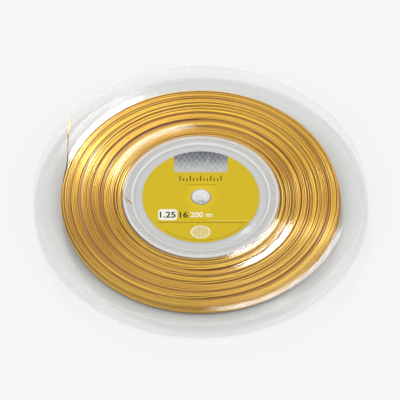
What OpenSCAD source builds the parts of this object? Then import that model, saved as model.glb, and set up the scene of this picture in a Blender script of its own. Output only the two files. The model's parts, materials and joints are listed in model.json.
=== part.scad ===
// Reel of racket string: two clear flanges on a serrated hub drum, wound with a
// smooth round string, with a round paper label and a foil patch in the front recess.
// Millimetres. The reel lies on its rear flange: +Z runs along the spindle bore,
// +Y is the label's upright, and the origin is on the floor under the bore.

/* [Flanges] */
// Outside diameter of both flanges
reel_d = 270; // [264:1:280]
// Gap between the flanges at the drum
gap_w = 12.6; // [12.2:0.1:14]
// Wall thickness of the flanges
wall = 1.4; // [1.2:0.1:1.6]
// How far each flange dishes in towards the string at mid radius
dish = 0.4; // [0.1:0.1:0.5]
// How far the outer band flares away from the string
flare = 0.5; // [0.3:0.05:0.6]
// How far the rim bead stands proud of the flared band
bead_proud = 0.25; // [0.1:0.05:0.4]
// Height of the rim bead along the axis
bead_h = 2.6; // [2.4:0.1:3]
// Diameter of the eyelet that holds the outer end of the string
eyelet_d = 3; // [3:0.1:3.4]

/* [Hub] */
// Diameter of the drum that the string is wound on
drum_d = 125.6; // [124:0.2:127]
// Wall thickness of the drum
drum_wall = 1.6; // [1.4:0.1:1.8]
// Number of radial teeth round the drum's front face
teeth = 180; // [120:10:200]
// Height of the teeth
tooth_h = 0.5; // [0.3:0.1:0.6]
// Diameter of the spindle bore
bore_d = 14; // [12:0.5:15]
// Depth of the label recess below the flange face
recess_h = 1.2; // [1:0.1:1.4]

/* [Label] */
// Diameter of the label
label_d = 95; // [90:1:96]
// Diameter of the label's centre hole
label_hole_d = 16.6; // [16.4:0.1:18]
// Thickness of the label
label_t = 0.2; // [0.1:0.05:0.3]
// Thickness of the foil patch
foil_t = 0.1; // [0.05:0.05:0.15]
// Width of the foil patch at the top of the label
foil_w = 43.4; // [38:0.2:46]
// Height of the foil patch's lower edge above the label's centre
foil_y = 25.9; // [24:0.1:30]

/* [String] */
// Diameter of the string
string_d = 1.25; // [1.2:0.05:1.3]
// Diameter of the solid bulk of string under the outer turns
bulk_d = 220.4; // [216:0.2:220.4]
// Turns drawn on the front face of the winding
face_turns = 16; // [12:1:16]
// Turns drawn across the outside of the winding
outer_turns = 5; // [4:1:5]

/* [Hidden] */

fine = 180;                                // facets of a full circle
coarse = 48;                               // facets of a small hole
past = 1;                                  // how far a cutting shape runs past a face

// Heights below are measured from the middle plane of the reel.
reel_r = reel_d / 2;
face_in = gap_w / 2;                       // inner face of a flange at the drum
face_out = face_in + wall;                 // outer face of a flange at the drum
band_out = face_out + flare;               // outer face at the end of the flared band
bead_top = band_out + bead_proud;
mid_z = bead_top;                          // height of the middle plane above the floor

// Radii of the flange, worked out from the outside inwards
bead_w = 2.7;
bead_in_r = reel_r - bead_w;               // inner edge of the rim bead
bead_slope = 0.8;                          // how far the bead's underside slopes back to the wall
band_r = reel_r * 0.92;                    // where the flared band starts
dish_in_r = drum_d / 2 + 0.7;              // where the dished wall starts
bead_round = 1;                            // corner radius of the rim bead
dish_steps = 12;

// Hub: drum, spigot, recess and boss
drum_r = drum_d / 2;
channel_w = 8;                             // width of the drum's channel, walls included
drum_in_r = drum_r - channel_w;            // bore of the drum, which the spigots fill
ledge_h = 1.5;                             // thickness of the drum's front ledge
tooth_root = 0.2;                          // how far the teeth are sunk in what carries them
spigot_gap = 0.1;
spigot_wall = 1.6;
spigot_depth = 4;
label_room = 1;                            // clearance round the label
recess_r = label_d / 2 + label_room;       // floor of the label recess
recess_rim_r = drum_in_r - spigot_gap;     // top of the cone round the recess
floor_out = face_out - recess_h;
floor_in = floor_out - wall;
cone_root = 0.7;                           // share of the recess's depth at which the spigot joins the cone
boss_wall = 2;
boss_gap = 0.2;                            // between the two bosses where they meet
collar_w = 1.1;                            // ring round the bore that centres the label
collar_h = 0.8;

// String
string_r = string_d / 2;
bulk_r = bulk_d / 2;
rings_per_turn = 24;
sides = 6;
chord = 1 / cos(180 / rings_per_turn);     // keeps the straight runs off a round face
seat = 0.03;                               // clearance of the outer turns over the bulk
bulk_half = 4.6;                           // half the width of the bulk
face_z = bulk_half + string_r + seat;      // centre height of the turns on the face
first_r = drum_r + string_r + 1;           // innermost turn on the face
last_r = (bulk_r + string_r + seat) * chord;
over_r = last_r + string_d + 0.5;          // the last turn lies on the others
over_z = 2.4;                              // height at which it leaves them
climb = 1 / 6;                             // part of the last turn in which it climbs on them
start_a = 168;                             // angle where the face turns start
slit_a = 185.5;                            // angle of the inner end, in the drum's slit
slit_in_r = drum_in_r + 2.6;               // radius of the slit's bend
slit_bend = 2.3;                           // how late the slit swings into the first turn
slit_tail = 3 * string_d;                  // length of the slit past its bend
slit_w = 1.7;
slit_depth = 2.1;
eyelet_at = [-107.8, 62];                  // hole for the outer end, on the flared band

function polar(r, a) = [r * cos(a), r * sin(a)];
function at(r, a, w) = [r * cos(a), r * sin(a), w];
function arc(c, r, a0, a1, n) = [for (i = [0:n]) c + polar(r, a0 + (a1 - a0) * i / n)];
function mix(a, b, t) = a + (b - a) * t;
function ease(t) = t * t * (3 - 2 * t);

// Depth of the dish at a radius: none at the drum and at the band, most half way.
function sag(r) =
    let (t = (2 * r - dish_in_r - band_r) / (band_r - dish_in_r))
    dish * (1 - t * t);

// One face of the dished wall, from the drum outwards, at height w.
function dished(w) = [
    for (i = [0:dish_steps])
        let (r = mix(dish_in_r, band_r, i / dish_steps)) [r, w - sag(r)]
];

// Half section of a flange with its outer face up.
function flange_section() =
    let (
        outer_face = concat(
            [
                [bore_d / 2, floor_out + collar_h],
                [bore_d / 2 + collar_w, floor_out + collar_h],
                [bore_d / 2 + collar_w, floor_out],
                [recess_r, floor_out],
                [recess_rim_r, face_out]
            ],
            dished(face_out),
            [[bead_in_r, band_out], [bead_in_r + bead_proud, bead_top]]
        ),
        bead = concat(
            arc([reel_r - bead_round, bead_top - bead_round], bead_round, 90, 0, 5),
            arc([reel_r - bead_round, bead_top - bead_h + bead_round], bead_round, 0, -90, 5)
        ),
        inner_face = concat(
            [[bead_in_r + bead_slope, bead_top - bead_h], [bead_in_r, band_out - wall]],
            [for (i = [dish_steps:-1:0]) dished(face_in)[i]],
            [[recess_rim_r, face_in]]
        ),
        spigot = [
            [recess_rim_r, face_in - spigot_depth],
            [recess_rim_r - spigot_wall, face_in - spigot_depth],
            [recess_rim_r - spigot_wall, floor_in + recess_h * cone_root],
            [recess_r, floor_in]
        ],
        boss = [
            [bore_d / 2 + boss_wall, floor_in],
            [bore_d / 2 + boss_wall, boss_gap / 2],
            [bore_d / 2, boss_gap / 2]
        ]
    )
    concat(outer_face, bead, inner_face, spigot, boss);

// One flange moulding, outer face up, with the eyelet for the end of the string.
module flange() {
    difference() {
        rotate_extrude($fn = fine) polygon(flange_section());
        translate([eyelet_at.x, eyelet_at.y, face_in - past])
            cylinder(h = wall + flare + 2 * past, d = eyelet_d, $fn = coarse);
    }
}

module front_flange() {
    color("gainsboro", 0.4) translate([0, 0, mid_z]) flange();
}

// The rear flange is the same moulding turned over, with its eyelet under the front one's.
module rear_flange() {
    color("gainsboro", 0.4) translate([0, 0, mid_z]) mirror([0, 0, 1]) flange();
}

// Outline of a wheel with straight radial teeth between radii r0 and r1.
function tooth_outline(r0, r1, n) = [
    for (i = [0:n - 1], k = [0:3])
        let (half = 90 / n, a = 360 * i / n + (k < 2 ? -half : half))
        polar(k == 1 || k == 2 ? r1 : r0, a)
];

// Slot of width w along a run of points, cut from height z0 upwards.
module slot(points, w, z0, h) {
    for (i = [0:len(points) - 1])
        translate([points[i].x, points[i].y, z0]) cylinder(h = h, d = w, $fn = coarse);
    for (i = [0:len(points) - 2])
        let (d = points[i + 1] - points[i])
        translate([points[i].x, points[i].y, z0])
            rotate([0, 0, atan2(d.y, d.x)])
                translate([0, -w / 2, 0]) cube([norm(d), w, h]);
}

// The drum is a channel, open to the rear, whose front ledge carries radial teeth.
// A slanting slit in its front face holds the inner end of the string.
module hub_drum() {
    tooth_in_r = drum_in_r + drum_wall;
    tooth_out_r = drum_r - drum_wall;
    drum_section = [
        [drum_in_r, -face_in], [tooth_in_r, -face_in],
        [tooth_in_r, face_in - ledge_h], [tooth_out_r, face_in - ledge_h],
        [tooth_out_r, -face_in], [drum_r, -face_in],
        [drum_r, face_in], [tooth_out_r, face_in],
        [tooth_out_r, face_in - tooth_h], [tooth_in_r, face_in - tooth_h],
        [tooth_in_r, face_in], [drum_in_r, face_in]
    ];
    color("whitesmoke", 0.5) translate([0, 0, mid_z])
        difference() {
            union() {
                rotate_extrude($fn = fine) polygon(drum_section);
                translate([0, 0, face_in - tooth_h - tooth_root])
                    linear_extrude(tooth_h + tooth_root)
                        difference() {
                            polygon(tooth_outline(tooth_in_r + tooth_root, tooth_out_r + tooth_root, teeth));
                            circle(r = tooth_in_r - tooth_root, $fn = fine);
                        }
            }
            slot([for (p = concat([inner_end(slit_tail)], entry_run())) [p.x, p.y]],
                slit_w, face_in - slit_depth, slit_depth + past);
        }
}

module label_disc() {
    difference() {
        circle(d = label_d, $fn = fine);
        circle(d = label_hole_d, $fn = fine);
    }
}

module front_label() {
    color("gold") translate([0, 0, mid_z + floor_out])
        linear_extrude(label_t) label_disc();
}

// Foil patch stuck on the label: two rounded lower corners, and the label's own arc on top.
module foil_patch() {
    corner = 2;
    half_w = foil_w / 2;
    outline = concat(
        arc([-half_w + corner, foil_y + corner], corner, 180, 270, 6),
        arc([half_w - corner, foil_y + corner], corner, 270, 360, 6),
        [[half_w, reel_r], [-half_w, reel_r]]
    );
    color("silver") translate([0, 0, mid_z + floor_out + label_t])
        linear_extrude(foil_t)
            intersection() {
                polygon(outline);
                circle(d = label_d, $fn = fine);
            }
}

// The string under the outer turns, as one plain ring on the drum.
module string_bulk() {
    round_off = 0.6;
    section = concat(
        [[drum_r, -bulk_half]],
        arc([bulk_r - round_off, -bulk_half + round_off], round_off, -90, 0, 4),
        arc([bulk_r - round_off, bulk_half - round_off], round_off, 0, 90, 4),
        [[drum_r, bulk_half]]
    );
    color("goldenrod") translate([0, 0, mid_z])
        rotate_extrude($fn = fine) polygon(section);
}

// Inner end: lies in the drum's slit and bends into the first turn.
// t goes from 0, inside the drum, to 1, where the turns on the face start.
function entry(t) = at(
    mix(first_r, slit_in_r, pow(1 - t, slit_bend)),
    mix(slit_a, start_a, t), face_z
);
function entry_run() = [for (i = [0:8]) entry(i / 8)];

// Point on the straight end of the string, a length back from the slit's bend.
function inner_end(length) =
    let (back = entry(0) - entry(1 / 8))
    entry(0) + length * back / norm(back);

// Turns on the front face: a flat spiral out to the corner of the winding.
function face_run() = [
    for (i = [1:face_turns * rings_per_turn])
        let (turn = i / rings_per_turn)
        at(mix(first_r, last_r, turn / face_turns), start_a - 360 * turn, face_z)
];

// Turns across the outside: a helix from the front edge to the rear one.
function outer_run() = [
    for (i = [1:outer_turns * rings_per_turn])
        let (turn = i / rings_per_turn)
        at(last_r, start_a - 360 * turn, mix(face_z, -face_z, turn / outer_turns))
];

// The last turn lies on the others and comes back towards the front edge.
function last_run() = [
    for (i = [1:rings_per_turn])
        let (t = i / rings_per_turn)
        at(mix(last_r, over_r, ease(min(1, t / climb))), start_a - 360 * t, mix(-face_z, over_z, ease(t)))
];

// Outer end: straight off the winding, up through the eyelet and over the flared band.
function exit_run() = [
    [-109.4, 31.5, 2.9],
    [-108.2, 39, 3.3],
    [-107.8, 48, 3.8],
    [-107.8, 56, 4.3],
    [-107.8, 59, 4.7],
    [-107.8, 60.6, 5.3],
    [-107.8, 61.3, 6.2],
    [-107.7, 62.7, 8],
    [-107.6, 63.6, 8.8],
    [-107.3, 66, 9.15],
    [-106.5, 72, 9.15],
    [-105.5, 79, 9.15]
];

function string_route() = concat(
    [inner_end(string_d)], entry_run(), face_run(), outer_run(), last_run(), exit_run()
);

// Closed tube round a route: each ring stands square to the route, with one side level.
function ring_at(p, ahead, r) =
    let (
        d = ahead / norm(ahead),
        side = cross(d, [0, 0, 1]) / norm(cross(d, [0, 0, 1])),
        up = cross(side, d)
    )
    [for (k = [0:sides - 1]) p + r * (side * cos(360 * k / sides) + up * sin(360 * k / sides))];

module tube(route, r) {
    n = len(route);
    rings = [
        for (i = [0:n - 1])
            each ring_at(route[i], route[min(i + 1, n - 1)] - route[max(i - 1, 0)], r)
    ];
    walls = [
        for (i = [0:n - 2], k = [0:sides - 1])
            let (a = i * sides + k, b = i * sides + (k + 1) % sides)
            each [[a, a + sides, b], [b, a + sides, b + sides]]
    ];
    start_cap = [for (k = [1:sides - 2]) [0, k, k + 1]];
    end_cap = [for (k = [1:sides - 2]) [(n - 1) * sides, (n - 1) * sides + k + 1, (n - 1) * sides + k]];
    polyhedron(points = rings, faces = concat(walls, start_cap, end_cap));
}

// Shortest distance from a point to the straight piece between a and b.
function to_piece(p, a, b) =
    let (ab = b - a, t = max(0, min(1, (p - a) * ab / (ab * ab))))
    norm(p - a - t * ab);

// Least clear space between parts of a route at least a quarter of a turn apart.
function least_gap(route, d) =
    let (skip = rings_per_turn / 4, n = len(route))
    min([
        for (i = [0:n - 1], j = [0:n - 2])
            if (abs(i - j) > skip) to_piece(route[i], route[j], route[j + 1])
    ]) - d;

module string_winding() {
    route = string_route();
    echo(least_gap_mm = least_gap(route, string_d));
    color("gold") translate([0, 0, mid_z]) tube(route, string_r);
}

front_flange();
rear_flange();
hub_drum();
front_label();
foil_patch();
string_bulk();
string_winding();
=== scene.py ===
# A reel of amber racket string: clear flanges, wound string and a printed label, on a pale floor.
import json
import math

import bpy
import numpy as np
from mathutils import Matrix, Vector

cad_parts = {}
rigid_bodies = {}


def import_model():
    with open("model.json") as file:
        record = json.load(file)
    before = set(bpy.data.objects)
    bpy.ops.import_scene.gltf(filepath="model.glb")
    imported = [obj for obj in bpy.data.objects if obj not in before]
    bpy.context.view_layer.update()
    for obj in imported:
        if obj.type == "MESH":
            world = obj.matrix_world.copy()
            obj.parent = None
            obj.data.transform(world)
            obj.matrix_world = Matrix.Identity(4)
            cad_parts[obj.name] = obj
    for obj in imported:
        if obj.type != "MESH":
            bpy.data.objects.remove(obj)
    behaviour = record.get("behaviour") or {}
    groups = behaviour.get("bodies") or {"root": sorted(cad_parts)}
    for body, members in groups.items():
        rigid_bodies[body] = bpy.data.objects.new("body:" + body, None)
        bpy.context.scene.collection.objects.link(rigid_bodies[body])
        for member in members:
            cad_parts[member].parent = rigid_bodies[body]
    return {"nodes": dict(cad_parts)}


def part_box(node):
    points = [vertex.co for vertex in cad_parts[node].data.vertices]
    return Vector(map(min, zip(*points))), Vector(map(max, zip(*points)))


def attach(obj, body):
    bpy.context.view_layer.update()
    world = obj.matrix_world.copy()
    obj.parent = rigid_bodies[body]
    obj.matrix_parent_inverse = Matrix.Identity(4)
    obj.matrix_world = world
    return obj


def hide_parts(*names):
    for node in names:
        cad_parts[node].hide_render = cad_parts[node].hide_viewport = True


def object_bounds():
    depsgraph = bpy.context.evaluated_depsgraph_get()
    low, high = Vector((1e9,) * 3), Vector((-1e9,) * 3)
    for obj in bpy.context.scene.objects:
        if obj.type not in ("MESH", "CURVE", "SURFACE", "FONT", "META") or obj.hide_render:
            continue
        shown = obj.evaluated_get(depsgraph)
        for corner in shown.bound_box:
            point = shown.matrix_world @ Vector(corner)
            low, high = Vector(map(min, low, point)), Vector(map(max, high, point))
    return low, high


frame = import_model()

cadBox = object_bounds()
mm = 0.001
reelR = cadBox[1].x
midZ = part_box("front_flange")[1].z / 2  # the middle plane, half way between the flanges' beads
print("frame loaded:", ", ".join(sorted(frame["nodes"])))


# ---- shader maths

class Sock:
    # an output socket that can be used in plain sums
    def __init__(self, paint, socket):
        self.paint = paint
        self.socket = socket

    def calc(self, operation, first, second=0.0):
        return self.paint.add("ShaderNodeMath", {"operation": operation}, {0: first, 1: second})

    def of(self, name):  # another output of the same node
        return Sock(self.paint, self.socket.node.outputs[name])

    def __add__(self, other):
        return self.calc("ADD", self, other)

    def __sub__(self, other):
        return self.calc("SUBTRACT", self, other)

    def __mul__(self, other):
        return self.calc("MULTIPLY", self, other)

    def __truediv__(self, other):
        return self.calc("DIVIDE", self, other)

    def __pow__(self, other):
        return self.calc("POWER", self, other)

    def __rsub__(self, other):
        return self.calc("SUBTRACT", other, self)

    __radd__ = __add__

    def sine(self):
        return self.calc("SINE", self)

    def size(self):  # the value without its sign
        return self.calc("ABSOLUTE", self)

    def above(self, edge):
        return self.calc("GREATER_THAN", self, edge)

    def between(self, low, high):
        return self.above(low) * (1 - self.above(high))

    def turnFrom(self, other):  # the angle round Z, from Y over X
        return self.calc("ARCTAN2", self, other)


class Paint:
    # one material, or the world, and its nodes
    def __init__(self, owner):
        owner.use_nodes = True
        self.owner = owner
        self.tree = owner.node_tree
        self.tree.nodes.clear()

    def add(self, kind, settings=None, sockets=None):
        node = self.tree.nodes.new(kind)
        for key, value in (settings or {}).items():
            if key == "stops":
                self.setStops(node.color_ramp, value)
            else:
                setattr(node, key, value)
        for key, value in (sockets or {}).items():
            if isinstance(value, Sock):
                self.tree.links.new(value.socket, node.inputs[key])
            else:
                node.inputs[key].default_value = value
        return Sock(self, node.outputs[0]) if node.outputs else None

    def setStops(self, ramp, stops):
        while len(ramp.elements) < len(stops):
            ramp.elements.new(1.0)
        for element, (position, colour) in zip(ramp.elements, stops):
            element.position = position
            element.color = colour

    def place(self):
        return self.add("ShaderNodeTexCoord").of("Object")

    def axes(self, vector):
        split = self.add("ShaderNodeSeparateXYZ", {}, {0: vector})
        return split.of("X"), split.of("Y"), split.of("Z")

    def noise(self, vector, scale, detail=3.0, rough=0.5):
        return self.add("ShaderNodeTexNoise", {}, {
            "Vector": vector, "Scale": scale, "Detail": detail, "Roughness": rough})

    def ramp(self, value, stops):
        return self.add("ShaderNodeValToRGB", {"stops": stops}, {0: value})

    def tone(self, factor, first, second):
        mix = self.add("ShaderNodeMix", {"data_type": "RGBA"}, {0: factor, 6: first, 7: second})
        return Sock(self, mix.socket.node.outputs[2])

    def bump(self, height, strength, distance):
        return self.add("ShaderNodeBump", {}, {
            "Height": height, "Strength": strength, "Distance": distance})

    def shade(self, factor, first, second):
        return self.add("ShaderNodeMixShader", {}, {0: factor, 1: first, 2: second})

    def done(self, shader):
        kind = "World" if isinstance(self.owner, bpy.types.World) else "Material"
        self.add("ShaderNodeOutput" + kind, {}, {"Surface": shader})
        return self.owner


def newPaint(name):
    return Paint(bpy.data.materials.new(name))


def rgb(red, green, blue):  # a screen colour, 0 to 255, as linear light
    srgb = np.array([red, green, blue]) / 255
    linear = np.where(srgb <= 0.04045, srgb / 12.92, ((srgb + 0.055) / 1.055) ** 2.4)
    return (*linear.tolist(), 1.0)


def grey(light):
    return (light, light, light, 1)


# ---- surfaces

# A grid of points (rows, columns, 3) becomes quads between neighbours; either way may close on itself.
def gridMesh(name, points, closeRows=False, closeColumns=False, caps=False, uv=None):
    rows, columns = points.shape[:2]
    i = np.arange(rows if closeRows else rows - 1)[:, None]
    j = np.arange(columns if closeColumns else columns - 1)[None, :]
    iNext, jNext = (i + 1) % rows, (j + 1) % columns
    near, far = i * columns, iNext * columns
    quads = np.stack([near + j, far + j, far + jNext, near + jNext], -1).reshape(-1, 4)
    flat = points.reshape(-1, 3)
    corners = flat[quads]
    volume = np.einsum("ij,ij->i", corners[:, 0], np.cross(corners[:, 1], corners[:, 2])).sum()
    volume += np.einsum("ij,ij->i", corners[:, 0], np.cross(corners[:, 2], corners[:, 3])).sum()
    if volume < 0:
        quads = quads[:, ::-1]
    faces = quads.tolist()
    if caps:  # the two open ends of a tube
        first = np.arange(columns)
        last = first + (rows - 1) * columns
        ends = (first[::-1], last) if volume < 0 else (first, last[::-1])
        faces += [end.tolist() for end in ends]
    mesh = bpy.data.meshes.new(name)
    mesh.from_pydata(flat.tolist(), [], faces)
    if uv is not None:  # uv holds each point's own pair, and wraps where the columns close
        layer = mesh.uv_layers.new(name="along")
        index = np.empty(len(mesh.loops), int)
        mesh.loops.foreach_get("vertex_index", index)
        pairs = uv.reshape(-1, 2)[index]
        layer.data.foreach_set("uv", pairs.ravel().astype(np.float32))
    mesh.polygons.foreach_set("use_smooth", np.ones(len(mesh.polygons), bool))
    mesh.validate()
    mesh.update()
    return mesh


def addObject(name, data):
    made = bpy.data.objects.new(name, data)
    bpy.context.scene.collection.objects.link(made)
    return made


def addPiece(name, mesh, material, slot, *replaced):
    piece = addObject(name, mesh)
    mesh.materials.clear()
    mesh.materials.append(material)
    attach(piece, "root")
    if replaced:
        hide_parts(*replaced)
    return piece


# The mesh that an object comes to, with its modifiers, or with its text turned into faces.
def shownMesh(thing):
    graph = bpy.context.evaluated_depsgraph_get()
    return bpy.data.meshes.new_from_object(thing.evaluated_get(graph), depsgraph=graph)


# Revolves a closed half section (n, 2) of radius and height round the Z axis.
def lathe(name, section, steps):
    angle = np.linspace(0, 2 * np.pi, steps, endpoint=False)
    radius, height = section[:, 0], section[:, 1]
    points = np.empty((steps, len(section), 3))
    points[..., 0] = np.cos(angle)[:, None] * radius
    points[..., 1] = np.sin(angle)[:, None] * radius
    points[..., 2] = height
    return gridMesh(name, points, closeRows=True, closeColumns=True)


# Rounds each corner (r, z, fillet) of a closed section with an arc tangent to both sides.
def rounded(corners, steps=5, straight=179.5):
    corners = np.array(corners, float)
    places = corners[:, :2]
    before = places - np.roll(places, 1, 0)
    after = np.roll(places, -1, 0) - places
    out = []
    for place, back, ahead, fillet in zip(places, before, after, corners[:, 2]):
        a, b = -back / np.linalg.norm(back), ahead / np.linalg.norm(ahead)
        turn = math.acos(np.clip(a @ b, -1, 1))
        if fillet == 0 or turn > math.radians(straight):
            out.append(place[None])
            continue
        reach = fillet / math.tan(turn / 2)
        centre = place + (a + b) / np.linalg.norm(a + b) * fillet / math.sin(turn / 2)
        start, end = place + a * reach - centre, place + b * reach - centre
        sweep = math.pi - turn
        t = np.linspace(0, 1, steps)[:, None]
        out.append(centre + (np.sin((1 - t) * sweep) * start + np.sin(t * sweep) * end) / math.sin(sweep))
    return np.concatenate(out)


# Adds a point a little way in from both ends of each long side, so that smooth shading stays flat there.
def guarded(section, inset=0.15, longFrom=6):
    ahead = np.roll(section, -1, 0) - section
    length = np.linalg.norm(ahead, axis=1)[:, None]
    step = ahead / length * inset
    rows = np.stack([section, section + step, section + ahead - step], 1)
    keep = np.ones(rows.shape[:2], bool)
    keep[:, 1:] = length > longFrom * inset
    return rows[keep]


# Rings of points stand square to a path; each ring has one side level. The second UV value is 1 where
# a point faces along its outward direction and 0 where it faces the other way.
def tube(name, path, radius, sides, outward):
    ahead = np.gradient(path, axis=0)
    ahead /= np.linalg.norm(ahead, axis=1)[:, None]
    side = np.cross(ahead, [0, 0, 1])
    side /= np.linalg.norm(side, axis=1)[:, None]
    up = np.cross(side, ahead)
    turn = np.arange(sides)[None, :, None] * 2 * np.pi / sides
    normal = side[:, None] * np.cos(turn) + up[:, None] * np.sin(turn)
    length = np.concatenate([[0], np.cumsum(np.linalg.norm(np.diff(path, axis=0), axis=1))])
    bare = 0.5 + 0.5 * (normal * outward[:, None]).sum(-1)
    uv = np.stack(np.broadcast_arrays(length[:, None], bare), -1)
    return gridMesh(name, path[:, None] + radius * normal, closeColumns=True, caps=True, uv=uv)


# Flat outlines, each (n, 2), raised from height z by thick into closed slabs.
def slab(name, outlines, z, thick):
    low, high = min(z, z + thick), max(z, z + thick)
    points, faces = [], []
    for outline in outlines:
        x, y = outline[:, 0], outline[:, 1]
        if (x * np.roll(y, -1) - y * np.roll(x, -1)).sum() < 0:
            outline = outline[::-1]
        n, start = len(outline), len(points)
        points += [(*p, low) for p in outline.tolist()] + [(*p, high) for p in outline.tolist()]
        faces.append([start + n - 1 - k for k in range(n)])
        faces.append([start + n + k for k in range(n)])
        faces += [[start + k, start + (k + 1) % n, start + n + (k + 1) % n, start + n + k] for k in range(n)]
    mesh = bpy.data.meshes.new(name)
    mesh.from_pydata(points, [], faces)
    mesh.update()
    return mesh


# ---- finishes: scales are per metre, each bump is a strength and a distance

plasticLook = {
    "clear": (0.993, 0.995, 0.994, 1),
    "edge": (0.7, 0.72, 0.72, 1),
    "edgePower": 3.0,
    "gloss": 0.022,
    "glossPower": 5.0,
    "roughness": 0.03,
    "rippleScale": 28.0,
    "scuffScale": 900.0,
    "scuffShare": 0.003,
    "bump": (0.2, 0.00004),
    "haze": 0.001,
    "frostTone": grey(0.96),
    "collar": (7.15, 9.4),  # from and to which radius the spindle tube is painted greyer, as painted shade
    "paintedCollarShade": (0.34, 0.345, 0.35, 1),
    "frost": [  # radius and share
        (9.2, 1.0), (9.6, 0.45), (55.8, 0.45), (56.8, 0.06), (61.0, 0.06), (61.8, 0.3),
        (63.2, 0.3), (64.0, 0.0), (121.0, 0.0), (123.5, 0.03), (131.5, 0.04), (132.5, 0.14)],
}


# Clear moulded polystyrene: lets light through, glossier and greyer where it is seen edge on, with
# faint flow lines from the mould, a little haze, and frost on the hub, the spindle tube and the rim.
# Round the mouth of the spindle tube the frost is painted dark grey, as painted shade.
def clearPlastic():
    look = plasticLook
    paint = newPaint("clearPolystyrene")
    place = paint.place()
    ripple = paint.noise(place, look["rippleScale"], detail=2.0)
    scuff = paint.noise(place, look["scuffScale"], detail=4.0, rough=0.7)
    normal = paint.bump(ripple + scuff * look["scuffShare"], *look["bump"])
    facing = paint.add("ShaderNodeLayerWeight", {}, {"Blend": 0.5}).of("Facing")
    gloss = facing ** look["glossPower"] * (1 - look["gloss"]) + look["gloss"]
    tint = paint.tone(facing ** look["edgePower"], look["clear"], look["edge"])
    through = paint.add("ShaderNodeBsdfTransparent", {}, {"Color": tint})
    shine = paint.add("ShaderNodeBsdfGlossy", {}, {
        "Color": grey(1), "Roughness": look["roughness"], "Normal": normal})
    x, y, z = paint.axes(place)
    radius = (x * x + y * y) ** 0.5
    low, high = look["collar"]
    collar = radius.between(low * mm, high * mm)
    # painted shade: the frost round the mouth of the spindle tube is a darker grey
    frost = paint.add("ShaderNodeBsdfDiffuse", {}, {
        "Color": paint.tone(collar, look["frostTone"], look["paintedCollarShade"])})
    frosted = paint.ramp(radius / reelR, [(r * mm / reelR, grey(share)) for r, share in look["frost"]])
    haze = scuff.above(0.5) * look["haze"] + look["haze"] + frosted
    return paint.done(paint.shade(haze, paint.shade(gloss, through, shine), frost))


stringLook = {
    "tones": [(0.34, rgb(150, 76, 1)), (0.5, rgb(200, 130, 2)), (0.66, rgb(250, 210, 24))],
    "driftScale": 2.3,
    # painted shade: the darker, redder amber of the flanks that face into the winding
    "paintedFlankShade": rgb(140, 68, 1),
    # painted shade: the colour that the darker copies of the amber are mixed towards
    "shade": rgb(124, 62, 2),
    "top": (0.45, 0.74),  # where the painted flank shade ends and the top begins, in the second UV value
    "grainScale": (70.0, 6.0),
    "grainRoughness": 0.08,
    "bump": (0.1, 0.00003),
    "bodyRoughness": 0.4,
    "refraction": 1.5,
    "coat": (1.0, 0.13),  # weight and roughness
    "sheen": (rgb(120, 66, 8), rgb(255, 220, 78)),  # of the flank, painted darker as shade, and of the top
    "sheenShare": 0.38,
    "sheenRoughness": 0.26,
    "through": (1, 0.99, 0.95, 1),
}


# Smooth amber monofilament: the tone drifts along its length, and fine lines from the die run with it.
# Its flanks, the sides that face into the winding, carry painted shade: they are darker and redder, for
# the shade between the strands and partly for light that has gone through more of it; the sheen is
# painted darker on the flanks too. Light that comes back out of it as a sheen is yellower. A darker
# copy mixes in a painted shade colour and has less sheen. Where a single strand lies clear of the
# winding, most of it is see-through.
def amberString(name, darker=1.0, seeThrough=0.0):
    look = stringLook
    paint = newPaint(name)
    length, bare, _ = paint.axes(paint.add("ShaderNodeUVMap", {"uv_map": "along"}))
    drift = paint.noise(paint.add("ShaderNodeCombineXYZ", {}, {0: length * look["driftScale"]}), 1.0)
    colour = paint.ramp(drift, look["tones"])
    # painted shade: a darker copy is mixed towards the shade colour, and its sheen is weaker
    if darker < 1:
        colour = paint.tone(1 - darker, colour, look["shade"])
    low, high = look["top"]
    top = paint.ramp(bare, [(low, grey(0)), (high, grey(1))])
    # painted shade on the flanks, between the strands
    colour = paint.tone(top, look["paintedFlankShade"], colour)
    along, across = look["grainScale"]
    lines = paint.add("ShaderNodeCombineXYZ", {}, {0: length * along, 1: bare * across})
    grain = paint.noise(lines, 1.0, detail=2.0)
    coat, coatRoughness = look["coat"]
    normal = paint.bump(grain, *look["bump"])
    body = paint.add("ShaderNodeBsdfPrincipled", {}, {
        "Base Color": colour, "Roughness": look["bodyRoughness"], "IOR": look["refraction"],
        "Coat Weight": coat, "Coat Roughness": coatRoughness, "Normal": normal})
    sheen = paint.add("ShaderNodeBsdfGlossy", {}, {
        "Color": paint.tone(top, *look["sheen"]),
        "Roughness": look["sheenRoughness"] + grain * look["grainRoughness"], "Normal": normal})
    shader = paint.shade(look["sheenShare"] * darker, body, sheen)
    if seeThrough:
        through = paint.add("ShaderNodeBsdfTransparent", {}, {"Color": look["through"]})
        shader = paint.shade(seeThrough, shader, through)
    return paint.done(shader)


drumLook = {
    "teeth": 180,
    "toothedR": (0.0566, 0.0612),
    "tones": (rgb(236, 234, 231), rgb(248, 246, 243)),
    # painted shade on the sides of the radial teeth
    "paintedToothShade": rgb(198, 196, 193),
    "cloudScale": 120.0,
    "cloudHeight": 0.3,
    "bump": (0.25, 0.0001),
    "metal": 0.1,
    "roughness": (0.36, 0.1),  # least, and what the clouds add
    "solid": 0.9,
    "through": grey(0.95),
}


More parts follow.
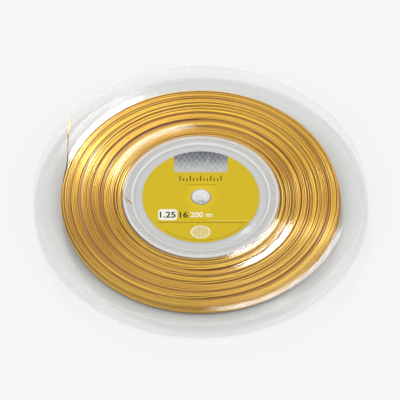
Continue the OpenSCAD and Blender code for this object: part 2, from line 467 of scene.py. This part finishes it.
# Milky plastic, with painted shade: the sides of the radial teeth are painted darker than their tops.
def drumPlastic():
    look = drumLook
    paint = newPaint("frostedDrum")
    place = paint.place()
    x, y, z = paint.axes(place)
    wave = (y.turnFrom(x) * look["teeth"] + math.pi / 2).sine()
    toothed = ((x * x + y * y) ** 0.5).between(*look["toothedR"])
    cloud = paint.noise(place, look["cloudScale"])
    milk = paint.tone(cloud, *look["tones"])
    colour = paint.tone((0.5 - wave * 0.5) * toothed, milk, look["paintedToothShade"])
    least, cloudy = look["roughness"]
    solid = paint.add("ShaderNodeBsdfPrincipled", {}, {
        "Base Color": colour, "Metallic": look["metal"], "Roughness": least + cloud * cloudy,
        "Normal": paint.bump(wave * toothed + cloud * look["cloudHeight"], *look["bump"])})
    through = paint.add("ShaderNodeBsdfTransparent", {}, {"Color": look["through"]})
    return paint.done(paint.shade(look["solid"], through, solid))


paperLook = {
    "fibreScale": 2600.0,
    "washScale": 45.0,
    "bump": (0.2, 0.00004),
    "roughness": (0.42, 0.12),  # least, and what the fibres add
    "specular": 0.12,
}


# Satin coated paper: fine fibres, and a slow drift of the ink.
def paperInk(name, colour, spread):
    look = paperLook
    paint = newPaint(name)
    place = paint.place()
    fibre = paint.noise(place, look["fibreScale"], detail=4.0, rough=0.65)
    wash = paint.noise(place, look["washScale"], detail=2.0)
    dark = tuple(c * (1 - spread) for c in colour[:3]) + (1,)
    light = tuple(min(1, c * (1 + spread)) for c in colour[:3]) + (1,)
    tone = paint.tone(fibre * 0.5 + wash * 0.5, dark, light)
    least, fibrous = look["roughness"]
    return paint.done(paint.add("ShaderNodeBsdfPrincipled", {}, {
        "Base Color": tone, "Roughness": least + fibre * fibrous, "Specular IOR Level": look["specular"],
        "Normal": paint.bump(fibre, *look["bump"])}))


foilLook = {
    "netScale": 760.0,
    "slope": 0.6,
    "warpScale": 150.0,
    "warp": 0.006,
    "ridgePower": 0.6,
    "cloudScale": 260.0,
    "fade": [  # from the bottom to the top edge
        (0.0, rgb(190, 192, 190)), (0.35, rgb(166, 169, 170)), (0.62, rgb(120, 123, 128)),
        (1.0, rgb(76, 79, 86))],
    "cloudFade": 0.5,
    "ridgeFade": 0.22,
    "moreFade": 0.1,
    "ridgeTone": rgb(200, 202, 203),
    "ridgeShare": 0.12,
    "bump": (0.35, 0.0001),
    "metal": 0.2,
    "roughness": (0.42, 0.2),  # least, and what the clouds add
}


# Embossed foil: a diamond net pressed in silver, darker at its top edge.
def silverFoil():
    look = foilLook
    paint = newPaint("embossedFoil")
    low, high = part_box("foil_patch")
    place = paint.place()
    x, y, z = paint.axes(place)
    warp = paint.noise(place, look["warpScale"]) * look["warp"]
    slant = y * look["slope"]
    net = ((x + slant + warp) * look["netScale"]).sine() * ((x - slant + warp) * look["netScale"]).sine()
    ridge = net.size() ** look["ridgePower"]
    rise = (y - low.y) / (high.y - low.y)
    cloud = paint.noise(place, look["cloudScale"], detail=4.0, rough=0.6)
    uneven = (cloud - 0.5) * look["cloudFade"]
    fade = paint.ramp(rise + uneven - ridge * look["ridgeFade"] + look["moreFade"], look["fade"])
    least, cloudy = look["roughness"]
    return paint.done(paint.add("ShaderNodeBsdfPrincipled", {}, {
        "Base Color": paint.tone(ridge * look["ridgeShare"], fade, look["ridgeTone"]),
        "Metallic": look["metal"], "Roughness": least + cloud * cloudy,
        "Normal": paint.bump(ridge + cloud, *look["bump"])}))


clear = clearPlastic()
amber = amberString("amberString")
# Darker copies of the amber carry painted shade: for the turns under the face layers and for the body inside
# the winding.
amberShadedUnder = amberString("amberStringShadedUnder", darker=0.45)
amberShadedCore = amberString("amberStringShadedCore", darker=0.25)
amberLone = amberString("amberStringLone", seeThrough=0.9)
print("finishes made")


# ---- flanges

flange = {  # millimetres; heights are from the middle plane
    "bore": 7.0, "collar": 8.1, "collarTop": 7.3, "floor": 6.5, "recess": 48.5, "rim": 54.7,
    "inner": 6.34, "wall": 1.36, "dish": 0.442, "dishFrom": 63.5, "dishMiddle": 95.4, "dishSteps": 15,
    "band": 124.2, "bandRound": 6.0, "flare": 0.5,
    "beadIn": 132.3, "beadStep": 0.8, "beadProud": 0.25, "beadHigh": 2.6, "beadRound": 1.0,
    "spigotWall": 1.6, "spigotDeep": 4.0, "spigotRoot": 5.94, "boss": 9.0, "bossEnd": 0.1,
    "eyelet": (-107.8, 62.0), "eyeletR": 1.5, "eyeletSteps": 48, "drillFrom": 4.0, "drillDeep": 6.0,
    "steps": 400, "sharpFrom": 50.0,
}


# The dished wall sags by a parabola from the drum to the band.
def sag(radius):
    t = (radius - flange["dishMiddle"]) / (flange["dishMiddle"] - flange["dishFrom"])
    return flange["dish"] * (1 - t * t)


def flangeSection():
    f = flange
    outer = f["inner"] + f["wall"]
    bandTop = outer + f["flare"]
    beadTop = bandTop + f["beadProud"]
    beadFoot = beadTop - f["beadHigh"]
    rim = reelR / mm
    spigotIn = f["rim"] - f["spigotWall"]
    spigotEnd = f["inner"] - f["spigotDeep"]
    across = np.linspace(f["dishFrom"], f["band"], f["dishSteps"])
    dishOut = [(r, outer - sag(r), 0) for r in across[:-1]]
    dishIn = [(r, f["inner"] - sag(r), 0) for r in across[-2::-1]]
    return rounded([  # radius, height and fillet
        (f["bore"], f["collarTop"], 0.25), (f["collar"], f["collarTop"], 0.3),
        (f["collar"], f["floor"], 0.2), (f["recess"], f["floor"], 1.2), (f["rim"], outer, 1.0), *dishOut,
        (f["band"], outer - sag(f["band"]), f["bandRound"]), (f["beadIn"], bandTop, 0.12),
        (f["beadIn"] + f["beadProud"], beadTop, 0.12), (rim, beadTop, f["beadRound"]),
        (rim, beadFoot, f["beadRound"]), (f["beadIn"] + f["beadStep"], beadFoot, 0.4),
        (f["beadIn"], bandTop - f["wall"], 0.4),
        (f["band"], f["inner"] - sag(f["band"]), f["bandRound"]), *dishIn,
        (f["rim"], f["inner"], 0.3), (f["rim"], spigotEnd, 0.3), (spigotIn, spigotEnd, 0.3),
        (spigotIn, f["spigotRoot"], 0.6), (f["recess"], f["floor"] - f["wall"], 0.8),
        (f["boss"], f["floor"] - f["wall"], 0.5), (f["boss"], f["bossEnd"], 0.3),
        (f["bore"], f["bossEnd"], 0.2),
    ])


# One flange, with the eyelet drilled through it; facing is 1 for the front and -1 for the rear.
def makeFlange(name, node, facing):
    section = guarded(flangeSection()) * mm
    section[:, 1] = midZ + facing * section[:, 1]
    piece = addPiece(name, lathe(name, section, flange["steps"]), clear, "clear_plastic", node)
    x, y = flange["eyelet"]
    turn = np.linspace(0, 2 * np.pi, flange["eyeletSteps"], endpoint=False)
    ring = np.stack([x + flange["eyeletR"] * np.cos(turn), y + flange["eyeletR"] * np.sin(turn)], -1) * mm
    drillZ = midZ + facing * flange["drillFrom"] * mm
    drill = addObject("drill", slab("drill", [ring], drillZ, facing * flange["drillDeep"] * mm))
    cut = piece.modifiers.new("eyelet", "BOOLEAN")
    cut.operation, cut.solver, cut.object = "DIFFERENCE", "EXACT", drill
    made = shownMesh(piece)
    piece.modifiers.clear()
    piece.data = made
    bpy.data.objects.remove(drill)
    made.set_sharp_from_angle(angle=math.radians(flange["sharpFrom"]))


makeFlange("frontFlange", "front_flange", 1)
makeFlange("rearFlange", "rear_flange", -1)
print("flanges turned")


# ---- string

string = {  # millimetres and degrees; heights are from the middle plane
    "radius": 0.625, "sides": 8, "perTurn": 180, "seed": 7,
    "slitTurn": 185.5, "slitR": 57.4, "slitSteps": 40, "slitCurl": 2.3,
    "first": 63.7, "last": 111.8, "faceZ": 5.21, "faceTurns": 27, "startTurn": 168.0,
    "wander": 3.4, "unevenSink": 0.3, "valleySink": 1.0,
    "outerTurns": 8, "bulge": 0.2, "pulledIn": 0.4, "over": 1.75, "overZ": 2.4,
    "spanSteps": 8, "spansToEyelet": 7,
    "freeFrom": 2.1,  # how far outside the winding a strand counts as clear of it
    "pushes": 80, "smoothing": 13,  # rounds of pushing turns apart, and points that smoothing takes in
    "layerTurn": 40.0, "coreIn": 62.9, "coreR": 110.1, "coreZ": 3.9, "coreSteps": 240,
}
outerEnd = [  # off the winding, up through the eyelet and over the flared band
    (-109.4, 31.5, 2.9), (-108.2, 39, 3.3), (-107.8, 48, 3.8), (-107.8, 56, 4.3), (-107.8, 59, 4.7),
    (-107.8, 60.6, 5.3), (-107.8, 61.3, 6.2), (-107.7, 62.7, 8), (-107.6, 63.6, 8.8), (-107.3, 66, 9.15),
    (-106.5, 72, 9.15), (-105.5, 79, 9.15),
]
driftWaves = {"slowest": 0.23, "step": 1.37, "count": 9, "fall": 0.35, "reach": 1.6}  # in waves a turn
valley = {
    "apart": 7.3, "power": 3,
    "sways": [(1.6, 1, 1), (1.1, 2, 4), (0.6, 3, 0)],  # depth in radians, waves a turn and start
}


# Smooth noise along the turns: sines of uneven pitch with seeded phases, between about -1 and 1.
def drifting(turns, seed):
    rng = np.random.default_rng(seed)
    pitch = driftWaves["slowest"] * driftWaves["step"] ** np.arange(driftWaves["count"])
    phase = rng.uniform(0, 2 * np.pi, driftWaves["count"])
    weight = pitch ** -driftWaves["fall"]
    waves = np.sin(2 * np.pi * turns[:, None] * pitch + phase) * weight
    return waves.sum(1) / np.sqrt((weight ** 2).sum() / 2) / driftWaves["reach"]


# A spiral whose turns wander, then are pushed apart until neighbours only just touch. The wander fades
# in the last half turn at both ends, and is calmer in the few turns before that.
def layTurns(turnCount, last, wander, seed):
    first, per = string["first"], string["perTurn"]
    turns = np.arange(turnCount * per + 1) / per
    radius = first + (last - first) * turns / turnCount
    fade = np.clip(np.minimum(turns, turnCount - turns) * 2, 0, 1)
    calm = np.clip(np.minimum(turns + 1, turnCount - turns) / 4, 0, 1)
    radius = radius + wander * drifting(turns, seed) * fade * calm
    kernel = np.hanning(string["smoothing"])
    kernel /= kernel.sum()
    for push in range(string["pushes"]):
        short = np.clip(2 * string["radius"] - (radius[per:] - radius[:-per]), 0, None) / 2
        radius[per:] += short
        radius[:-per] -= short
        smooth = np.convolve(np.pad(radius, string["smoothing"] // 2, "edge"), kernel, "valid")
        radius = np.where(fade > 0, smooth, radius)
        radius = np.clip(radius, first, last)
    return turns, radius


# Groups of turns stand proud of the valleys between them, which wander across the turns.
def valleys(radius, turns):
    turn = 2 * np.pi * turns
    shift = sum(depth * np.sin(waves * turn + start) for depth, waves, start in valley["sways"])
    return (0.5 + 0.5 * np.sin(2 * np.pi * radius / valley["apart"] + shift)) ** valley["power"]


def polar(radius, degrees, height):
    turn = np.radians(degrees)
    return np.stack(np.broadcast_arrays(radius * np.cos(turn), radius * np.sin(turn), height), -1)


# Evenly spaced points on a Catmull-Rom curve through given ones.
def throughPoints(points, steps):
    p = np.array(points, float)
    p = np.vstack([2 * p[0] - p[1], p, 2 * p[-1] - p[-2]])
    t = np.linspace(0, 1, steps, endpoint=False)[None, :, None]
    a, b, c, d = (p[k:len(p) - 3 + k, None] for k in range(4))
    curve = 2 * b + (c - a) * t + (2 * a - 5 * b + 4 * c - d) * t ** 2 + (3 * b - a - 3 * c + d) * t ** 3
    return np.vstack([(0.5 * curve).reshape(-1, 3), p[-2]])


def ease(t):
    return t * t * (3 - 2 * t)


# The string's visible run: slit, spiral on the front face, helix outside and last turn; then its outer
# end as far as the eyelet; then the tail on top of the flange.
def frontRoute():
    s = string
    t = np.linspace(0, 1, s["slitSteps"], endpoint=False)
    spin = s["slitTurn"] + (s["startTurn"] - s["slitTurn"]) * t
    entry = polar(s["first"] + (s["slitR"] - s["first"]) * (1 - t) ** s["slitCurl"], spin, s["faceZ"])
    stub = entry[:1] + (entry[:1] - entry[1:2]) / np.linalg.norm(entry[1] - entry[0]) * 2 * s["radius"]
    turns, radius = layTurns(s["faceTurns"], s["last"], s["wander"], s["seed"])
    uneven = s["unevenSink"] * (0.5 + 0.5 * drifting(turns, s["seed"] + 1))
    sink = uneven + s["valleySink"] * valleys(radius, turns)
    sink *= np.clip(turns * 3, 0, 1) * np.clip((s["faceTurns"] - turns) / 2, 0, 1)
    face = polar(radius, s["startTurn"] - 360 * turns, s["faceZ"] - sink)
    outer = np.arange(1, s["outerTurns"] * s["perTurn"] + 1) / s["perTurn"]
    bulge = (s["bulge"] * drifting(outer, s["seed"] + 2) - s["pulledIn"]) * np.clip(outer * 2, 0, 1)
    helix = polar(s["last"] + bulge, s["startTurn"] - 360 * outer,
                  s["faceZ"] * (1 - 2 * outer / s["outerTurns"]))
    t = np.arange(1, s["perTurn"]) / s["perTurn"]
    over = polar(s["last"] + bulge[-1] + s["over"] * ease(np.clip(6 * t, 0, 1)), s["startTurn"] - 360 * t,
                 -s["faceZ"] + (s["overZ"] + s["faceZ"]) * ease(t))
    end = throughPoints([over[-1], *outerEnd], s["spanSteps"])
    through = s["spanSteps"] * s["spansToEyelet"]
    return np.vstack([stub, entry, face, helix, over]), end[:through + 1], end[through:]


# One layer of a face of the winding: a wandering spiral at a height from the middle plane.
def faceRoute(turnCount, last, wander, z, sink, seed):
    turns, radius = layTurns(turnCount, last, wander, seed)
    sunk = sink * (0.5 + 0.5 * drifting(turns, seed + 1))
    return polar(radius, string["layerTurn"] - 360 * turns, z - np.sign(z) * sunk)


# The way out of the winding at each point of a path: from the nearest point of its core. It is straight
# up at the outer end of the string, which lies clear of the winding.
def wayOut(path):
    radius = np.hypot(path[:, 0], path[:, 1])[:, None]
    sideways = path * [1, 1, 0] / radius * np.clip(radius - string["coreR"], 0, None)
    level = path[:, 2] - np.clip(path[:, 2], -string["coreZ"], string["coreZ"])
    out = sideways + level[:, None] * [0, 0, 1]
    out[radius[:, 0] > string["last"] + string["freeFrom"]] = 0, 0, 1
    return out / np.linalg.norm(out, axis=1)[:, None]


def makeString(name, path, material, *replaced):
    outward = wayOut(path)
    path = path * mm
    path[:, 2] += midZ
    mesh = tube(name, path, string["radius"] * mm, string["sides"], outward)
    addPiece(name, mesh, material, "string", *replaced)


# The body inside the winding, in the darkest copy of the amber: painted shade where little light reaches.
def makeCore():
    inR, outR, z = string["coreIn"], string["coreR"], string["coreZ"]
    section = rounded([(inR, -z, 0.3), (outR, -z, 1.0), (outR, z, 1.0), (inR, z, 0.3)]) * mm
    section[:, 1] += midZ
    core = lathe("stringCore", section, string["coreSteps"])
    addPiece("stringCore", core, amberShadedCore, "string", "string_bulk")


wound, outerRun, tail = frontRoute()
makeString("stringFront", wound, amber, "string_winding")
makeString("stringOuterRun", outerRun, amberLone)
makeString("stringTail", tail, amber)
layers = {  # turns, last radius, wander, height, sink and seed
    "stringFrontUnder": (32, 111.2, 1.1, 4.15, 0.3, 21),
    "stringRear": (34, 111.2, 1.4, -5.21, 0.4, 33),
    "stringRearUnder": (32, 111.0, 1.1, -4.3, 0.4, 45),
}
for name, layer in layers.items():
    makeString(name, faceRoute(*layer), amberShadedUnder if "Under" in name else amber)
makeCore()
print("string wound")


# ---- hub and label

def repaint(node, material):
    data = frame["nodes"][node].data
    data.materials.clear()
    data.materials.append(material)


repaint("hub_drum", drumPlastic())
repaint("front_label", paperInk("yellowLabel", rgb(213, 184, 28), 0.06))
repaint("foil_patch", silverFoil())

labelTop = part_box("front_label")[1].z
labelPrint = {  # millimetres, from the bore
    "lift": 0.01, "thick": 0.03, "overPrint": 1.2,
    "chip": (-26.9, -18.5, 15.6, 11.6, 3.0),  # middle, width, height and corner
    "gauge": ("1.25", -26.9, -18.5, 6.2),  # text, middle and height
    "size": ("16", -13.9, -18.5, 6.0),
    "length": ("200 m", 0.3, -18.5, 5.2),
    "fontScale": 1.38,
    "scale": (-17.3, 16.7, 16.8, 22.1, 13), "tickHalf": 0.4, "tallEvery": 3,
    "rowOfDots": (-11.5, 11.5, 12.7, 0.9, 14), "dotHalf": 0.45,
    "finePrint": (-34.7, 36.6, -26.5, 1.0, 44), "fineHalf": 0.35, "fineBeat": 2.1,
    "paleRule": (4.6, 40.5, -24.4, 0.22),
    "head": (-0.3, -36.5, 8.0, 6.6), "headLine": 0.9, "strandHalf": 0.17, "strandGap": 2.0,
    "strandInset": 0.6, "mains": 7, "crosses": 5,
    "arc": (45.2, -40.0, -130.0, 90), "dashHalfTurn": 0.35, "dashHalf": 0.3,
}


def flatBox(x0, x1, y0, y1):
    return np.array([(x0, y0), (x1, y0), (x1, y1), (x0, y1)]) * mm


# Outline of a ring, an ellipse inside another, cut open by a hairline so that it is one outline.
def ringOutline(x, y, halfW, halfH, line, steps=64, hairline=0.001):
    turn = np.linspace(hairline, 2 * np.pi - hairline, steps)
    outside = np.stack([x + halfW * np.cos(turn), y + halfH * np.sin(turn)], -1)
    inside = np.stack([x + (halfW - line) * np.cos(turn), y + (halfH - line) * np.sin(turn)], -1)
    return np.vstack([outside, inside[::-1]]) * mm


def roundedBox(x, y, width, height, corner):
    w, h = width / 2, height / 2
    return rounded([(x - w, y - h, corner), (x + w, y - h, corner), (x + w, y + h, corner),
                    (x - w, y + h, corner)], 8) * mm


# The height of a print on the label; the second level lies on top of the first.
def printZ(level, above=0.0):
    over = (level - 1) * labelPrint["thick"] * labelPrint["overPrint"]
    return labelTop + (labelPrint["lift"] + above + over) * mm


def printed(name, outlines, material, level=1):
    mesh = slab(name, outlines, printZ(level), labelPrint["thick"] * mm)
    addPiece(name, mesh, material, "label_paper")


# Numerals in the plain built-in face, made a mesh and set down on the label.
def numerals(name, text, x, y, height, material, level, bold):
    curve = bpy.data.curves.new(name, "FONT")
    curve.body, curve.size = text, height * labelPrint["fontScale"] * mm
    curve.align_x, curve.align_y = "CENTER", "CENTER"
    curve.extrude, curve.offset = labelPrint["thick"] / 2 * mm, bold * mm
    written = addObject(name, curve)
    mesh = shownMesh(written)
    bpy.data.objects.remove(written)
    co = np.empty(len(mesh.vertices) * 3)
    mesh.vertices.foreach_get("co", co)
    co = co.reshape(-1, 3)
    centre = (co.max(0) + co.min(0)) / 2
    co += np.array([x * mm, y * mm, printZ(level, labelPrint["thick"] / 2)]) - centre
    mesh.vertices.foreach_set("co", co.ravel())
    mesh.update()
    addPiece(name, mesh, material, "label_paper")


blackInk = paperInk("blackInk", rgb(38, 34, 24), 0.15)
whiteInk = paperInk("whiteInk", rgb(244, 242, 228), 0.02)
brownInk = paperInk("brownInk", rgb(140, 118, 34), 0.1)
paleInk = paperInk("paleInk", rgb(226, 208, 110), 0.04)

printed("gaugeChip", [roundedBox(*labelPrint["chip"])], whiteInk)
numerals("gaugeFigures", *labelPrint["gauge"], blackInk, level=2, bold=0.18)
numerals("sizeFigures", *labelPrint["size"], blackInk, level=1, bold=0.16)
numerals("lengthFigures", *labelPrint["length"], whiteInk, level=1, bold=0.12)

x0, x1, y0, y1, count = labelPrint["scale"]
half = labelPrint["tickHalf"]
middles = np.linspace(x0 + half, x1 - half, count)
tops = np.where(np.arange(count) % labelPrint["tallEvery"] == 0, y1, (y0 + y1) / 2)
printed("tickScale", [flatBox(x - half, x + half, y0, top) for x, top in zip(middles, tops)], blackInk)

x0, x1, y, high, count = labelPrint["rowOfDots"]
half = labelPrint["dotHalf"]
middles = np.linspace(x0, x1, count)
printed("dotRow", [flatBox(x - half, x + half, y - high / 2, y + high / 2) for x in middles], brownInk)

x0, x1, y, high, count = labelPrint["finePrint"]
half = labelPrint["fineHalf"]
middles = np.linspace(x0, x1, count)
halves = half + half * np.abs(np.sin(np.arange(count) * labelPrint["fineBeat"]))
dashes = [flatBox(x - w, x + w, y - high / 2, y + high / 2) for x, w in zip(middles, halves)]
printed("finePrintRow", dashes, brownInk)

x0, x1, y, high = labelPrint["paleRule"]
printed("paleRule", [flatBox(x0, x1, y - high, y + high)], paleInk)

x, y, halfW, halfH = labelPrint["head"]  # the head of a racket with its strings
thin, inset = labelPrint["strandHalf"], labelPrint["strandInset"]
net = [ringOutline(x, y, halfW, halfH, labelPrint["headLine"])]
for k in (np.arange(labelPrint["mains"]) - labelPrint["mains"] // 2) * labelPrint["strandGap"]:
    reach = (halfH - inset) * math.sqrt(1 - (k / (halfW - inset)) ** 2)
    net.append(flatBox(x + k - thin, x + k + thin, y - reach, y + reach))
printed("racketHead", net, whiteInk)
net = []
for k in (np.arange(labelPrint["crosses"]) - labelPrint["crosses"] // 2) * labelPrint["strandGap"]:
    reach = (halfW - inset) * math.sqrt(1 - (k / (halfH - inset)) ** 2)
    net.append(flatBox(x - reach, x + reach, y + k - thin, y + k + thin))
printed("racketCrosses", net, whiteInk, level=2)

r, a0, a1, count = labelPrint["arc"]
radii = (r + labelPrint["dashHalf"] * np.array([-1, 1, 1, -1])) * mm
turns = labelPrint["dashHalfTurn"] * np.array([-1, -1, 1, 1])
dashes = [polar(radii, a + turns, 0)[:, :2] for a in np.linspace(a0, a1, count)]
printed("microDashes", dashes, brownInk)
print("label printed")


# ---- floor, light and camera

studio = {
    "elevation": 51.0, "wide": 324.1, "pixels": 400, "centrePixel": (200.9, 196.2), "aimZ": 7.7,
    "floor": rgb(247, 247, 247), "floorSize": 20.0, "floorZ": -0.0002,
    "sky": 0.32, "underSky": 0.92, "horizon": (0.5, 0.52),
    "suns": {  # turn, rise, power, softness
        "key": (98.3, 38.5, 0.7, 12.0),
        "fillLeft": (-150.0, 54.0, 1.033, 60.0),
        "fillRight": (-30.0, 54.0, 1.033, 60.0)},
    "nearLamps": {  # turn, rise, distance, power
        "nearLeft": (130.0, 30.0, 0.2, 0.6),
        "nearRight": (5.0, 32.0, 0.2, 0.3)},
    "nearSize": 0.02, "nearColour": (0.97, 1.0, 1.25),
    "boreLamp": {
        "turn": -90.0, "rise": 51.0, "distance": 0.4, "power": 4.5, "size": 0.01, "cone": 1.8,
        "blend": 0.15},
    "glints": [  # lean, turns, power, softness
        (0.0157, (-57.0, -50.0, -43.0, -36.0, -29.0), 0.0014, 0.38),
        (0.0191, (102.0, 113.0, 124.0, 135.0, 146.0, 157.0), 0.00055, 0.45),
        (0.0265, (-63.0, -54.0, -45.0, -36.0, -27.0), 0.0013, 0.6)],
}
cameraRise = math.radians(studio["elevation"])
toCamera = Vector((0, -math.cos(cameraRise), math.sin(cameraRise)))


def addFloor():
    size = studio["floorSize"]
    mesh = bpy.data.meshes.new("floor")
    corners = [(-size, -size, 0), (size, -size, 0), (size, size, 0), (-size, size, 0)]
    mesh.from_pydata(corners, [], [(0, 1, 2, 3)])
    floor = addObject("floor", mesh)
    paint = newPaint("paleFloor")
    mesh.materials.append(paint.done(paint.add("ShaderNodeBsdfDiffuse", {}, {"Color": studio["floor"]})))
    floor.location.z = studio["floorZ"]


# A dim even sky; below the horizon it is as pale as the floor, which carries the floor on in low views.
def skyWorld():
    paint = Paint(bpy.context.scene.world or bpy.data.worlds.new("sky"))
    bpy.context.scene.world = paint.owner
    rise = paint.axes(paint.add("ShaderNodeTexCoord").of("Generated"))[2]
    low, high = studio["horizon"]
    tone = paint.ramp(rise + 0.5, [(low, grey(studio["underSky"])), (high, grey(studio["sky"]))])
    paint.done(paint.add("ShaderNodeBackground", {}, {"Color": tone, "Strength": 1.0}))


def towards(turn, rise):
    turn, rise = math.radians(turn), math.radians(rise)
    return Vector((math.cos(turn) * math.cos(rise), math.sin(turn) * math.cos(rise), math.sin(rise)))


# Turns a lamp or the camera so that one of its axes points along a direction.
def aim(thing, direction, axis="Z"):
    thing.rotation_mode = "QUATERNION"
    thing.rotation_quaternion = direction.to_track_quat(axis, "Y")


def addSun(name, direction, power, soft):
    light = bpy.data.lights.new(name, "SUN")
    light.energy, light.angle = power, math.radians(soft)
    lamp = addObject(name, light)
    aim(lamp, direction)
    return lamp


# The pieces whose names start with a word, as the set that a lamp lights.
def lit(start):
    pieces = bpy.data.collections.get(start) or bpy.data.collections.new(start)
    for piece in bpy.data.objects:
        if piece.name.startswith(start) and piece.name not in pieces.objects:
            pieces.objects.link(piece)
    return pieces


# A small lamp close by, which lights the string alone, most on its own side.
def addNearLamp(name, turn, rise, distance, power):
    light = bpy.data.lights.new(name, "POINT")
    light.energy, light.shadow_soft_size, light.color = power, studio["nearSize"], studio["nearColour"]
    lamp = addObject(name, light)
    lamp.location = towards(turn, rise) * distance
    lamp.light_linking.receiver_collection = lit("string")


# A narrow lamp that shines down the bore.
def addBoreLamp():
    bore = studio["boreLamp"]
    light = bpy.data.lights.new("boreLamp", "SPOT")
    light.energy, light.shadow_soft_size = bore["power"], bore["size"]
    light.spot_size, light.spot_blend = math.radians(bore["cone"]), bore["blend"]
    lamp = addObject("boreLamp", light)
    away = towards(bore["turn"], bore["rise"])
    lamp.location = Vector((0, 0, midZ + flange["collarTop"] * mm)) + away * bore["distance"]
    aim(lamp, away)


# The direction in which a lamp shows in a surface whose normal leans by a level vector.
def mirrored(lean):
    normal = (lean + Vector((0, 0, 1))).normalized()
    return 2 * normal.dot(toCamera) * normal - toCamera


def addCamera():
    camera = bpy.data.cameras.new("camera")
    camera.type, camera.ortho_scale = "ORTHO", studio["wide"] * mm
    seen = addObject("camera", camera)
    pixel = studio["wide"] * mm / studio["pixels"]
    middle = studio["pixels"] / 2
    right, up = Vector((1, 0, 0)), Vector((0, math.sin(cameraRise), math.cos(cameraRise)))
    x, y = studio["centrePixel"]
    top = Vector((0, 0, midZ + studio["aimZ"] * mm))
    seen.location = top + right * (middle - x) * pixel + up * (y - middle) * pixel + toCamera
    aim(seen, -toCamera, "-Z")
    bpy.context.scene.camera = seen


addFloor()
skyWorld()
for name, (turn, rise, power, soft) in studio["suns"].items():
    addSun(name, towards(turn, rise), power, soft)
for name, (turn, rise, distance, power) in studio["nearLamps"].items():
    addNearLamp(name, turn, rise, distance, power)
addBoreLamp()
for lean, turns, power, soft in studio["glints"]:
    for turn in turns:
        glint = addSun("glint", mirrored(lean * towards(turn, 0)), power, soft)
        glint.light_linking.receiver_collection = lit("frontFlange")
addCamera()
bpy.context.scene.view_settings.view_transform = "Standard"
print("lit and framed")
